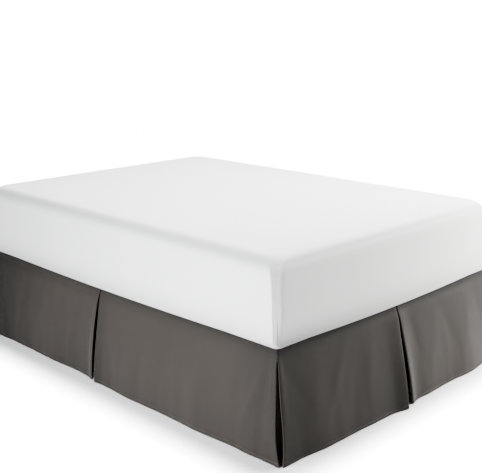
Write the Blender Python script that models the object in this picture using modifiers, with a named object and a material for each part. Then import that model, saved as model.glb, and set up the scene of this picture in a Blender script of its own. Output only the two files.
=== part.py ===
# A tailored bed skirt hanging round a plain double bed.
# Metres, +Z up. X runs across the bed, +Y towards its head, and the floor is z = 0.
# The origin is on the floor, under the middle of the whole object.
# Each drop panel is one sheet: it is folded back at its open foot corner and has one
# inverted box pleat in its middle. A sheet is drawn as a path in plan, and its fullness
# and its outward hang grow from the seam at the top to the hem at the floor.

from collections import namedtuple
from math import cos, pi, sin

import bmesh
import bpy
import numpy as np

# Bed
BED_WIDTH = 1.372
BED_LENGTH = 1.905
SKIRT_TOP = 0.407
MATTRESS_HEIGHT = 0.320
BASE_HEIGHT = 0.235
BASE_INSET = 0.012
BASE_EDGE = 0.015
LEG_FOOT_RADIUS = 0.021
LEG_TOP_RADIUS = 0.029
LEG_INSET = 0.115
LEG_SIDES = 16

# Cloth
CLOTH = 0.0016
PIECE_GAP = 0.0003
LAYER_TOP = 0.0034
LAYER_HEM = 0.0090
HEM_LIFT = 0.0012
HEM_RISE = 0.3
SIDE_CURVE = 1.5
FOOT_CURVE = 1.1
LEVELS = 10
RUN_STEP = 0.060
FOLD_STEPS = 5

# Pleats and open corners. A gap's bow says how early it opens on its way down, and a
# pleat's lean how far it drifts back towards the start of its drop.
PLEAT_DEPTH = 0.075
PLEAT_SINK = 0.50
FOLD_NOSE = 1.8
PLEAT_GAP_TOP = 0.0035
SIDE_GAP_HEM = 0.034
SIDE_GAP_BOW = 4.0
FOOT_GAP_HEM = 0.047
FOOT_GAP_BOW = 1.0
FOOT_LEAN = 0.0105
CORNER_RETURN = 0.050
CORNER_SINK = 0.20
CORNER_SETBACK_TOP = 0.0062
CORNER_SETBACK_HEM = 0.0145
CORNER_BOW = 0.0115
CORNER_BOW_PLACE = 2.2
UNDERLAY_SINK = 0.35
UNDERLAY_REACH = 0.115
UNDERLAY_BEND_TOP = 0.010
UNDERLAY_BEND_HEM = 0.030
UNDERLAY_STEPS = 4

SIDE_PLEAT = 0.533 * BED_LENGTH
FOOT_PLEAT = 0.504 * BED_WIDTH
FOOT_PLEAT_HEM = FOOT_PLEAT - FOOT_LEAN

# How far the hem stands out from the seam along each drop. Distances run from the foot
# corner on a side and from the left corner on the foot. Two close rows are a pleat's edges.
SIDE_HANG = (
    ("distance", "hang"),
    (0.000, 0.048),
    (0.200, 0.057),
    (0.480, 0.063),
    (0.760, 0.065),
    (SIDE_PLEAT - SIDE_GAP_HEM / 2, 0.058),
    (SIDE_PLEAT + SIDE_GAP_HEM / 2, 0.053),
    (1.150, 0.048),
    (1.500, 0.051),
    (BED_LENGTH, 0.055),
)
FOOT_HANG = (
    ("distance", "hang"),
    (0.000, 0.067),
    (0.210, 0.078),
    (0.480, 0.087),
    (FOOT_PLEAT_HEM - FOOT_GAP_HEM / 2, 0.091),
    (FOOT_PLEAT_HEM + FOOT_GAP_HEM / 2, 0.078),
    (0.900, 0.081),
    (1.150, 0.084),
    (BED_WIDTH, 0.070),
)

# Soft folds that fall from the seam, with their swell at the hem
SIDE_FOLDS = (
    ("distance", "width", "swell"),
    (0.060, 0.080, 0.0030),
    (0.180, 0.100, -0.0035),
    (0.330, 0.130, 0.0025),
    (0.560, 0.170, -0.0020),
    (0.800, 0.130, 0.0025),
    (1.170, 0.120, -0.0025),
    (1.340, 0.140, 0.0030),
    (1.620, 0.160, -0.0030),
    (1.800, 0.110, 0.0025),
)
FOOT_FOLDS = (
    ("distance", "width", "swell"),
    (0.100, 0.090, -0.0030),
    (0.240, 0.110, 0.0025),
    (0.410, 0.130, -0.0025),
    (0.560, 0.070, -0.0015),
    (0.672, 0.070, 0.0070),
    (0.830, 0.110, 0.0025),
    (1.000, 0.120, -0.0025),
    (1.180, 0.130, 0.0025),
    (1.290, 0.090, -0.0025),
)

# The mattress outline by share of its height: how far it stands out from the skirt's
# seam line, and its corner radius in plan
MATTRESS_SECTIONS = (
    ("height", "outset", "corner"),
    (0.050, 0.0110, 0.024),
    (0.150, 0.0145, 0.026),
    (0.350, 0.0155, 0.029),
    (0.580, 0.0120, 0.033),
    (0.750, 0.0060, 0.038),
    (0.840, 0.0000, 0.043),
    (0.900, -0.0080, 0.049),
    (0.940, -0.0190, 0.056),
    (0.968, -0.0350, 0.062),
    (0.986, -0.0650, 0.068),
    (0.996, -0.1300, 0.074),
    (1.000, -0.2600, 0.080),
)
MATTRESS_SIDE_STEPS = 10
MATTRESS_CORNER_STEPS = 4
LIP_INSIDE = 0.0045
LIP_OUTSIDE = 0.0085
LIP_CORNER = 0.021
LIP_BEVEL = 0.0025
LIP_DROP = 0.0002
LIP_SAG_SIDE = 0.0060
LIP_SAG_FOOT = 0.0060

WHITE_COVER = (0.86, 0.86, 0.87)
GREY_CLOTH = (0.125, 0.115, 0.103)
BASE_TICKING = (0.42, 0.41, 0.39)
DARK_WOOD = (0.10, 0.065, 0.04)

DROP_TOP = SKIRT_TOP - CLOTH - PIECE_GAP
BASE_TOP = DROP_TOP
BASE_BOTTOM = BASE_TOP - BASE_HEIGHT


def table(rows):
    """A named table's columns, one array each."""
    return np.array(rows[1:], float).T


def at_level(top, hem, down):
    return top + (hem - top) * down


def hang_at(hang, at):
    """The hem's reach at a distance along the drop, with soft turns at each row."""
    places, reaches = table(hang)
    index = int(np.clip(np.searchsorted(places, at) - 1, 0, len(places) - 2))
    span = places[index + 1] - places[index]
    share = float(np.clip((at - places[index]) / span, 0, 1))
    share = share * share * (3 - 2 * share)
    return at_level(reaches[index], reaches[index + 1], share)


def swell_at(folds, at):
    places, widths, swells = table(folds)
    return float(np.sum(swells * np.exp(-2 * ((at - places) / widths) ** 2)))


def outward(drop, at, down):
    """How far the outer layer stands out from the seam line at a share of its height down."""
    fall = 1 - (1 - down) ** drop.curve
    return hang_at(drop.hang, at) * fall + swell_at(drop.folds, at) * down**1.5


def furthest(drop):
    return max(outward(drop, at, 1) for at in np.linspace(0, drop.length, 400))


Drop = namedtuple("Drop", "length hang folds curve pleat lean gap_hem gap_bow")
SIDE = Drop(
    length=BED_LENGTH,
    hang=SIDE_HANG,
    folds=SIDE_FOLDS,
    curve=SIDE_CURVE,
    pleat=SIDE_PLEAT,
    lean=0,
    gap_hem=SIDE_GAP_HEM,
    gap_bow=SIDE_GAP_BOW,
)
FOOT = Drop(
    length=BED_WIDTH,
    hang=FOOT_HANG,
    folds=FOOT_FOLDS,
    curve=FOOT_CURVE,
    pleat=FOOT_PLEAT,
    lean=FOOT_LEAN,
    gap_hem=FOOT_GAP_HEM,
    gap_bow=FOOT_GAP_BOW,
)

SIDE_LINE = BED_WIDTH / 2
MATTRESS_OUT = max(row[1] for row in MATTRESS_SECTIONS[1:])
FOOT_LINE = (furthest(FOOT) - MATTRESS_OUT - BED_LENGTH) / 2
HEAD_LINE = FOOT_LINE + BED_LENGTH


def collection_named(name):
    found = bpy.data.collections.new(name)
    bpy.context.scene.collection.children.link(found)
    return found


def material_named(name, colour, roughness):
    made = bpy.data.materials.new(name)
    made.use_nodes = True
    shader = made.node_tree.nodes["Principled BSDF"]
    shader.inputs["Base Color"].default_value = (*colour, 1)
    shader.inputs["Roughness"].default_value = roughness
    shader.inputs["Metallic"].default_value = 0
    return made


def object_from(bm, name, group, material, smooth_angle=0.6):
    mesh = bpy.data.meshes.new(name)
    bmesh.ops.recalc_face_normals(bm, faces=bm.faces)
    bm.to_mesh(mesh)
    bm.free()
    mesh.materials.append(material)
    mesh.shade_smooth()
    mesh.set_sharp_from_angle(angle=smooth_angle)
    made = bpy.data.objects.new(name, mesh)
    group.objects.link(made)
    return made


def sheet_from(rows, name, group, material):
    """A grid bent into a sheet, one row of points for each level, then made solid."""
    rows = np.array(rows)
    bm = bmesh.new()
    bmesh.ops.create_grid(bm, x_segments=rows.shape[1] - 1, y_segments=rows.shape[0] - 1, size=1)
    across = [round((v.co.x + 1) / 2 * (rows.shape[1] - 1)) for v in bm.verts]
    down = [round((v.co.y + 1) / 2 * (rows.shape[0] - 1)) for v in bm.verts]
    for vertex, i, j in zip(bm.verts, across, down):
        vertex.co = rows[j, i]
    sheet = object_from(bm, name, group, material)
    solid = sheet.modifiers.new("Cloth thickness", "SOLIDIFY")
    solid.thickness = CLOTH
    solid.offset = 0
    solid.use_even_offset = True
    return sheet


def fold(edge, first, last, facing, sunk, pitch):
    """A soft fold between two layers, rounded like a nose, its outermost point at the edge."""
    nose = FOLD_NOSE * pitch / 2
    turns = [pi * i / (FOLD_STEPS - 1) for i in range(FOLD_STEPS)]
    middle = (first + last) / 2
    swing = (first - last) / 2
    return [
        (edge + facing * nose * (sin(turn) - 1), middle + swing * cos(turn), sunk) for turn in turns
    ]


def run(start, end, length):
    """Points between two folds, spaced for a nominal length that is the same at every level."""
    count = max(2, round(length / RUN_STEP))
    shares = [i / count for i in range(1, count)]
    return [tuple(at_level(a, b, share) for a, b in zip(start, end)) for share in shares]


def joined(stops, pitch):
    """Folds with runs between them, as points (distance along, layer, share sunk behind).

    A stop is (edge, first layer, last layer, facing, share sunk, length of the run before it).
    """
    path = []
    for edge, first, last, facing, sunk, length in stops:
        points = [(edge, first, sunk)]
        if first != last:
            points = fold(edge, first, last, facing, sunk, pitch)
        if path:
            path += run(path[-1], points[0], length)
        path += points
    return path


def pleat_stops(drop, down):
    """An inverted box pleat: back behind the first edge, across, and out at the second edge."""
    gap = at_level(PLEAT_GAP_TOP, drop.gap_hem, 1 - (1 - down) ** drop.gap_bow)
    left = drop.pleat - drop.lean * down - gap / 2
    right = left + gap
    return [
        (left, 0, 1, 1, 0, drop.pleat),
        (left - PLEAT_DEPTH, 1, 2, -1, PLEAT_SINK, PLEAT_DEPTH),
        (right + PLEAT_DEPTH, 2, 1, 1, PLEAT_SINK, 2 * PLEAT_DEPTH),
        (right, 1, 0, -1, 0, PLEAT_DEPTH),
    ]


def corner_at(other, down):
    """Where a drop turns back at its open corner, short of the plane of the other drop."""
    setback = at_level(CORNER_SETBACK_TOP, CORNER_SETBACK_HEM, down)
    return setback + CORNER_BOW * sin(pi * down**CORNER_BOW_PLACE) - outward(other, 0, down)


def side_path(down, pitch):
    corner = corner_at(FOOT, down)
    stops = [
        (corner + CORNER_RETURN, 1, 1, 1, CORNER_SINK, 0),
        (corner, 1, 0, -1, 0, CORNER_RETURN),
        *pleat_stops(SIDE, down),
        (BED_LENGTH, 0, 0, 1, 0, BED_LENGTH - SIDE_PLEAT),
    ]
    return joined(stops, pitch)


def foot_path(down, pitch):
    corner = corner_at(SIDE, down)
    far = BED_WIDTH - corner
    stops = [
        (corner + CORNER_RETURN, 1, 1, 1, CORNER_SINK, 0),
        (corner, 1, 0, -1, 0, CORNER_RETURN),
        *pleat_stops(FOOT, down),
        (far, 0, 1, 1, 0, BED_WIDTH - FOOT_PLEAT),
        (far - CORNER_RETURN, 1, 1, 1, CORNER_SINK, CORNER_RETURN),
    ]
    return joined(stops, pitch)


def drop_point(drop, place, down, pitch):
    """(distance along, distance out, height) of a point of a drop's middle surface."""
    at, layer, sunk = place
    out = outward(drop, at, down) * (1 - sunk) - CLOTH / 2 - layer * pitch
    hem = HEM_LIFT + HEM_RISE * abs(swell_at(drop.folds, at))
    return at, out, at_level(DROP_TOP, hem, down)


def drop_rows(drop, path_at):
    rows = []
    for level in range(LEVELS):
        down = level / (LEVELS - 1)
        pitch = at_level(LAYER_TOP, LAYER_HEM, down)
        rows.append([
            drop_point(drop, place, down, pitch) for place in path_at(down, pitch)
        ])
    return rows


def on_side(rows, hand):
    """Drop points placed on the left (-1) or right (1) side of the bed."""
    return [[(hand * (SIDE_LINE + out), FOOT_LINE + at, z) for at, out, z in row] for row in rows]


def on_foot(rows):
    return [[(at - SIDE_LINE, FOOT_LINE - out, z) for at, out, z in row] for row in rows]


def underlay_rows(hand):
    """The loose piece behind an open corner, bent softly round it, on the third layer."""
    foot_end = 0 if hand < 0 else BED_WIDTH
    rows = []
    for level in range(LEVELS):
        down = level / (LEVELS - 1)
        back = CLOTH / 2 + 2 * at_level(LAYER_TOP, LAYER_HEM, down)
        side_out = outward(SIDE, 0, down) * (1 - UNDERLAY_SINK) - back
        foot_out = outward(FOOT, foot_end, down) * (1 - UNDERLAY_SINK) - back
        bend = at_level(UNDERLAY_BEND_TOP, UNDERLAY_BEND_HEM, down)
        z = at_level(DROP_TOP, HEM_LIFT, down)
        side_arm = [
            (side_out, at) for at in np.linspace(UNDERLAY_REACH, bend - foot_out, UNDERLAY_STEPS)
        ]
        turns = [pi / 2 * i / UNDERLAY_STEPS for i in range(1, UNDERLAY_STEPS)]
        arc = [
            (side_out - bend * (1 - cos(turn)), bend * (1 - sin(turn)) - foot_out)
            for turn in turns
        ]
        foot_arm = [
            (out, -foot_out) for out in np.linspace(side_out - bend, -UNDERLAY_REACH, UNDERLAY_STEPS)
        ]
        rows.append([
            (hand * (SIDE_LINE + out), FOOT_LINE + at, z) for out, at in side_arm + arc + foot_arm
        ])
    return rows


def make_deck(group, material):
    """The flat platform of cloth that lies on the base and carries the drops."""
    bm = bmesh.new()
    bmesh.ops.create_grid(bm, x_segments=1, y_segments=1, size=0.5)
    bmesh.ops.scale(bm, verts=bm.verts, vec=(BED_WIDTH, BED_LENGTH, 1))
    middle = (0, (FOOT_LINE + HEAD_LINE) / 2, SKIRT_TOP - CLOTH / 2)
    bmesh.ops.translate(bm, verts=bm.verts, vec=middle)
    deck = object_from(bm, "deck", group, material)
    solid = deck.modifiers.new("Cloth thickness", "SOLIDIFY")
    solid.thickness = CLOTH
    solid.offset = 0


def make_drops(group, material):
    side = drop_rows(SIDE, side_path)
    foot = drop_rows(FOOT, foot_path)
    sheet_from(on_side(side, -1), "drop_left", group, material)
    sheet_from(on_side(side, 1), "drop_right", group, material)
    sheet_from(on_foot(foot), "drop_foot", group, material)


def make_underlays(group, material):
    sheet_from(underlay_rows(-1), "corner_underlay_left", group, material)
    sheet_from(underlay_rows(1), "corner_underlay_right", group, material)


def mattress_ring(outset, corner, heights):
    """One closed outline. heights gives the side's, the foot's and the corners' height."""
    side_z, foot_z, corner_z = heights
    half_x = SIDE_LINE + outset - corner
    half_y = BED_LENGTH / 2 + outset - corner
    middle_y = (FOOT_LINE + HEAD_LINE) / 2
    edges = (
        ((half_x + corner, -half_y), (half_x + corner, half_y), side_z, 0),
        ((half_x, half_y + corner), (-half_x, half_y + corner), foot_z, 1),
        ((-half_x - corner, half_y), (-half_x - corner, -half_y), side_z, 2),
        ((-half_x, -half_y - corner), (half_x, -half_y - corner), foot_z, 3),
    )
    ring = []
    for start, end, low_z, quarter in edges:
        for i in range(MATTRESS_SIDE_STEPS):
            share = i / MATTRESS_SIDE_STEPS
            z = at_level(corner_z, low_z, sin(pi * share) ** 0.8)
            x = at_level(start[0], end[0], share)
            ring.append((x, middle_y + at_level(start[1], end[1], share), z))
        centre_x = half_x if quarter in (0, 3) else -half_x
        centre_y = half_y if quarter in (0, 1) else -half_y
        for i in range(MATTRESS_CORNER_STEPS):
            turn = pi / 2 * (quarter + i / MATTRESS_CORNER_STEPS)
            x = centre_x + corner * cos(turn)
            ring.append((x, middle_y + centre_y + corner * sin(turn), corner_z))
    return ring


def make_mattress(group, material):
    """Rings bridged from the flat underside, over the lip on the skirt's seam, to the crown."""
    floor = SKIRT_TOP + PIECE_GAP
    lip_corner = floor - LIP_DROP
    lip = (floor - LIP_SAG_SIDE, floor - LIP_SAG_FOOT, lip_corner)
    lip_edge = tuple(z + LIP_BEVEL for z in lip)
    rings = [
        mattress_ring(LIP_INSIDE, LIP_CORNER, (floor, floor, floor)),
        mattress_ring(LIP_INSIDE, LIP_CORNER, lip),
        mattress_ring(LIP_OUTSIDE - LIP_BEVEL, LIP_CORNER, lip),
        mattress_ring(LIP_OUTSIDE, LIP_CORNER, lip_edge),
    ]
    for share, outset, corner in MATTRESS_SECTIONS[1:]:
        z = floor + share * MATTRESS_HEIGHT
        rings.append(mattress_ring(outset, corner, (z, z, z)))
    bm = bmesh.new()
    loops = [[bm.verts.new(point) for point in ring] for ring in rings]
    for lower, upper in zip(loops, loops[1:]):
        for i, corner_vert in enumerate(lower):
            after = (i + 1) % len(lower)
            bm.faces.new((corner_vert, lower[after], upper[after], upper[i]))
    bm.faces.new(list(reversed(loops[0])))
    bm.faces.new(loops[-1])
    object_from(bm, "mattress", group, material)


def make_base(group, material):
    bm = bmesh.new()
    bmesh.ops.create_cube(bm, size=1)
    inset = 2 * BASE_INSET
    size = (BED_WIDTH - inset, BED_LENGTH - inset, BASE_HEIGHT)
    bmesh.ops.scale(bm, verts=bm.verts, vec=size)
    middle = (0, (FOOT_LINE + HEAD_LINE) / 2, (BASE_TOP + BASE_BOTTOM) / 2 - PIECE_GAP)
    bmesh.ops.translate(bm, verts=bm.verts, vec=middle)
    base = object_from(bm, "base", group, material)
    soft = base.modifiers.new("Soft edges", "BEVEL")
    soft.width = BASE_EDGE
    soft.segments = 3


def make_legs(group, material):
    """Two rows of three turned legs, with wide tops against the base."""
    height = BASE_BOTTOM - 2 * PIECE_GAP
    across = {"left": LEG_INSET - SIDE_LINE, "right": SIDE_LINE - LEG_INSET}
    along = {
        "foot": FOOT_LINE + LEG_INSET,
        "middle": (FOOT_LINE + HEAD_LINE) / 2,
        "head": HEAD_LINE - LEG_INSET,
    }
    for side, x in across.items():
        for place, y in along.items():
            bm = bmesh.new()
            bmesh.ops.create_cone(
                bm,
                cap_ends=True,
                segments=LEG_SIDES,
                radius1=LEG_FOOT_RADIUS,
                radius2=LEG_TOP_RADIUS,
                depth=height,
            )
            bmesh.ops.translate(bm, verts=bm.verts, vec=(x, y, height / 2))
            object_from(bm, f"leg_{side}_{place}", group, material)


def main():
    for existing in list(bpy.data.objects):
        bpy.data.objects.remove(existing, do_unlink=True)
    group = collection_named("bed_skirt")
    cloth = material_named("grey cloth", GREY_CLOTH, 0.8)
    make_deck(group, cloth)
    make_drops(group, cloth)
    make_underlays(group, cloth)
    make_mattress(group, material_named("white cover", WHITE_COVER, 0.85))
    make_base(group, material_named("base ticking", BASE_TICKING, 0.9))
    make_legs(group, material_named("dark wood", DARK_WOOD, 0.5))


main()
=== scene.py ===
# Dresses a bed skirt and the plain bed that it hangs on. Metres, +Z up, +Y towards the head.
from math import cos, pi, radians, sin

import bmesh
import bpy
import numpy as np
from mathutils import Matrix, Vector, noise


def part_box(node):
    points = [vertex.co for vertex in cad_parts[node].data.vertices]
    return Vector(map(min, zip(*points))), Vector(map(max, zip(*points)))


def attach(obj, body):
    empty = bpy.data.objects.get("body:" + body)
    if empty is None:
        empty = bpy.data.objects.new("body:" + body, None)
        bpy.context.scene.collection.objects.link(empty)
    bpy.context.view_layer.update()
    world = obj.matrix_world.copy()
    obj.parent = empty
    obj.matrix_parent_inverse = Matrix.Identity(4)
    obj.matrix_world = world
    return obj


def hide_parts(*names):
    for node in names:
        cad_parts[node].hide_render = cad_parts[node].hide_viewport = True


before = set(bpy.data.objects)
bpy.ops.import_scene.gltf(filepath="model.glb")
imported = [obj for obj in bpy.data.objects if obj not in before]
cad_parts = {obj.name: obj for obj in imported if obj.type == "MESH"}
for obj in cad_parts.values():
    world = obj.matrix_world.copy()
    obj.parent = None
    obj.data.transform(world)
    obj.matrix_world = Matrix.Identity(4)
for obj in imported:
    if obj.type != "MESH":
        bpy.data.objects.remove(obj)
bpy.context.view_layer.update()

deckLow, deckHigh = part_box("deck")
bed = {
    "left": deckLow[0],
    "right": deckHigh[0],
    "foot": deckLow[1],
    "head": deckHigh[1],
    "top": deckHigh[2],
    "width": deckHigh[0] - deckLow[0],
    "length": deckHigh[1] - deckLow[1],
    "dropTop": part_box("drop_left")[1][2],
    "middle": (deckLow[1] + deckHigh[1]) / 2,
}
print("frame loaded, bed", round(bed["width"], 3), "x", round(bed["length"], 3))


# Helpers that the pieces share

def mix(a, b, share):
    return a + (b - a) * share


def smoothStep(low, high, at):
    share = np.clip((at - low) / (high - low), 0, 1)
    return share * share * (3 - 2 * share)


def rise(at, span):
    return smoothStep(span[0], span[1], at)


def fade(at, span):
    return 1 - smoothStep(span[0], span[1], at)


def hump(at, centre, width):
    return np.exp(-2 * ((at - centre) / width) ** 2)


def columns(rows):
    # the first row of a table names its columns
    return np.array(rows[1:], float).T


def softLine(places, values, at):
    # goes through every row with a soft turn at each
    index = np.clip(np.searchsorted(places, at) - 1, 0, len(places) - 2)
    share = np.clip((at - places[index]) / (places[index + 1] - places[index]), 0, 1)
    return mix(values[index], values[index + 1], share * share * (3 - 2 * share))


def wander(at, seed, longest, shortest, count=5):
    # a fixed sum of waves, the same on every run
    dice = np.random.default_rng(seed)
    total = np.zeros_like(np.asarray(at, float))
    for i in range(count):
        length = longest * (shortest / longest) ** (i / (count - 1))
        total += length / longest * np.sin(2 * pi * (at / length + dice.random()))
    return total


def gridPiece(name, points, uvs, material, closed=False, paintedShading=None):
    # points, uvs and the painted light and shade hold one row for each level; a closed grid joins its last
    # column to its first
    rowCount, columnCount = points.shape[:2]
    index = np.arange(rowCount * columnCount).reshape(rowCount, columnCount)
    after = np.roll(index, -1, axis=1) if closed else index[:, 1:]
    here = index if closed else index[:, :-1]
    quads = np.stack([here[:-1], after[:-1], after[1:], here[1:]], axis=-1).reshape(-1, 4)
    mesh = bpy.data.meshes.new(name)
    mesh.from_pydata(points.reshape(-1, 3).tolist(), [], quads.tolist())
    corners = quads.reshape(-1)
    layer = mesh.uv_layers.new(name="cloth")
    layer.data.foreach_set("uv", uvs.reshape(-1, 2)[corners].astype(np.float32).reshape(-1))
    # each point's tone holds painted light and shade; 1 leaves the colour as it is
    tone = mesh.attributes.new("tone", "FLOAT", "POINT")
    values = np.ones((rowCount, columnCount)) if paintedShading is None else paintedShading
    tone.data.foreach_set("value", values.astype(np.float32).reshape(-1))
    mesh.materials.append(material)
    mesh.shade_smooth()
    piece = bpy.data.objects.new(name, mesh)
    bpy.context.scene.collection.objects.link(piece)
    return piece


def thicken(piece, thickness):
    solid = piece.modifiers.new("cloth thickness", "SOLIDIFY")
    solid.thickness = thickness
    solid.offset = 0
    solid.use_even_offset = True


# Shader node helpers

def addNode(tree, kind, place, **settings):
    node = tree.nodes.new(kind)
    node.location = place
    for key, value in settings.items():
        setattr(node, key, value)
    return node


def link(tree, source, target):
    tree.links.new(source, target)


def mathNode(tree, operation, place, first, second=None, third=None):
    node = addNode(tree, "ShaderNodeMath", place, operation=operation)
    for slot, value in zip(node.inputs, (first, second, third)):
        if value is None:
            continue
        if isinstance(value, (int, float)):
            slot.default_value = value
        else:
            link(tree, value, slot)
    return node.outputs[0]


def newGroup(name, inputs, outputs):
    # inputs and outputs are (name, socket kind, default)
    tree = bpy.data.node_groups.new(name, "ShaderNodeTree")
    for title, kind, default in inputs:
        socket = tree.interface.new_socket(name=title, in_out="INPUT", socket_type=kind)
        if default is not None:
            socket.default_value = default
    for title, kind in outputs:
        tree.interface.new_socket(name=title, in_out="OUTPUT", socket_type=kind)
    entry = addNode(tree, "NodeGroupInput", (-900, 0))
    end = addNode(tree, "NodeGroupOutput", (900, 0))
    return tree, entry, end


def setInputs(node, values):
    for name, value in values.items():
        node.inputs[name].default_value = value


def placeGroup(tree, group, place, **values):
    node = addNode(tree, "ShaderNodeGroup", place, node_tree=group)
    setInputs(node, values)
    return node


threadLook = {
    "slubScale": 60.0,
    "slubShift": 1.5,
    "fineTimes": 14.0,  # how much finer the mottle's small clouds are than its broad ones
}


def weaveGroup():
    # crossing threads over UVs in metres, as a height
    tree, entry, end = newGroup(
        "Plain weave",
        [("Threads", "NodeSocketFloat", 900.0), ("Uneven", "NodeSocketFloat", 0.2)],
        [("Height", "NodeSocketFloat")],
    )
    uv = addNode(tree, "ShaderNodeUVMap", (-900, -200), uv_map="cloth")
    slub = addNode(tree, "ShaderNodeTexNoise", (-700, -300))
    slub.inputs["Scale"].default_value = threadLook["slubScale"]
    link(tree, uv.outputs[0], slub.inputs["Vector"])
    sides = addNode(tree, "ShaderNodeSeparateXYZ", (-700, 0))
    link(tree, uv.outputs[0], sides.inputs[0])
    waves = []
    shift = threadLook["slubShift"]
    for i, height in ((0, 200), (1, -40)):
        along = mathNode(tree, "MULTIPLY", (-500, height), sides.outputs[i], entry.outputs[0])
        shifted = mathNode(tree, "MULTIPLY_ADD", (-350, height), slub.outputs[0], shift, along)
        turned = mathNode(tree, "MULTIPLY", (-200, height), shifted, 2 * pi)
        waves.append(mathNode(tree, "SINE", (-50, height), turned))
    crossed = mathNode(tree, "MULTIPLY", (100, 100), waves[0], waves[1])
    rough = mathNode(tree, "MULTIPLY", (100, -150), slub.outputs[0], entry.outputs[1])
    link(tree, mathNode(tree, "ADD", (300, 0), crossed, rough), end.inputs[0])
    return tree


def mottleGroup():
    # soft cloudy change of tone, from -1 to 1 about the middle
    tree, entry, end = newGroup(
        "Soft mottle",
        [("Size", "NodeSocketFloat", 3.0), ("Fine", "NodeSocketFloat", 0.3)],
        [("Tone", "NodeSocketFloat")],
    )
    place = addNode(tree, "ShaderNodeTexCoord", (-900, -200))
    broad = addNode(tree, "ShaderNodeTexNoise", (-600, 100))
    link(tree, place.outputs["Object"], broad.inputs["Vector"])
    link(tree, entry.outputs[0], broad.inputs["Scale"])
    small = addNode(tree, "ShaderNodeTexNoise", (-600, -200))
    link(tree, place.outputs["Object"], small.inputs["Vector"])
    scale = mathNode(tree, "MULTIPLY", (-800, -400), entry.outputs[0], threadLook["fineTimes"])
    link(tree, scale, small.inputs["Scale"])
    broadTone = mathNode(tree, "MULTIPLY_ADD", (-300, 100), broad.outputs[0], 2.0, -1.0)
    smallTone = mathNode(tree, "MULTIPLY_ADD", (-300, -200), small.outputs[0], 2.0, -1.0)
    part = mathNode(tree, "MULTIPLY", (-100, -200), smallTone, entry.outputs[1])
    link(tree, mathNode(tree, "ADD", (100, 0), broadTone, part), end.inputs[0])
    return tree


def shadeGroup():
    # darkens or lightens a colour by the painted light and shade kept in its points' tone
    tree, entry, end = newGroup(
        "Painted light and shade",
        [("Color", "NodeSocketColor", (1, 1, 1, 1)), ("Amount", "NodeSocketFloat", 1.0)],
        [("Color", "NodeSocketColor")],
    )
    tone = addNode(tree, "ShaderNodeAttribute", (-700, -200), attribute_name="tone")
    change = mathNode(tree, "SUBTRACT", (-500, -200), tone.outputs["Fac"], 1.0)
    share = mathNode(tree, "MULTIPLY_ADD", (-300, -200), change, entry.outputs["Amount"], 1.0)
    scaled = addNode(tree, "ShaderNodeVectorMath", (0, 0), operation="SCALE")
    link(tree, entry.outputs["Color"], scaled.inputs[0])
    link(tree, share, scaled.inputs["Scale"])
    link(tree, scaled.outputs[0], end.inputs[0])
    return tree


groups = {"weave": weaveGroup(), "mottle": mottleGroup(), "shade": shadeGroup()}


def startMaterial(name):
    material = bpy.data.materials.new(name)
    material.use_nodes = True
    tree = material.node_tree
    return material, tree, tree.nodes["Principled BSDF"]


def toned(tree, tone, look):
    # the look's colour made lighter and darker by a tone of -1 to 1
    colour, spread = look["colour"], look["spread"]
    ramp = addNode(tree, "ShaderNodeMix", (-300, 300), data_type="RGBA")
    ramp.inputs["A"].default_value = (*[c * (1 - spread) for c in colour], 1)
    ramp.inputs["B"].default_value = (*[c * (1 + spread) for c in colour], 1)
    share = mathNode(tree, "MULTIPLY_ADD", (-480, 300), tone, 0.5, 0.5)
    link(tree, share, ramp.inputs["Factor"])
    return ramp.outputs["Result"]


def addBump(tree, shader, height, look):
    node = addNode(tree, "ShaderNodeBump", (-250, -300))
    setInputs(node, {"Strength": look["bump"], "Distance": look["bumpDistance"]})
    link(tree, height, node.inputs["Height"])
    link(tree, node.outputs[0], shader.inputs["Normal"])


def startCloth(name, look):
    # the mottled colour and the weave that every cloth here has
    material, tree, shader = startMaterial(name)
    mottle = placeGroup(tree, groups["mottle"], (-900, 300), Size=look["mottleSize"], Fine=look["mottleFine"])
    weave = placeGroup(tree, groups["weave"], (-900, -300), Threads=look["threads"])
    base = toned(tree, mottle.outputs[0], look)
    return material, tree, shader, base, weave.outputs[0], mottle.outputs[0]


skirtLook = {
    "colour": (0.0630, 0.0562, 0.0500),
    "spread": 0.10,
    "mottleSize": 2.6,
    "mottleFine": 0.25,
    "threads": 1100.0,
    "bump": 0.35,
    "bumpDistance": 0.0002,
    "roughness": 0.62,
    "roughSpread": 0.05,
    "sheen": 0.25,
    "sheenRoughness": 0.4,
    "gloss": 0.35,
    "stitchHeight": 0.0125,  # above the hem's edge
    "stitchWidth": 0.0011,
    "stitchLength": 0.0034,
    "stitchShare": 0.7,
    "stitchRise": 2.0,
    "stitchHighlight": 2.2,
    "paintedShadeAmount": 1.0,
}


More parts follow.
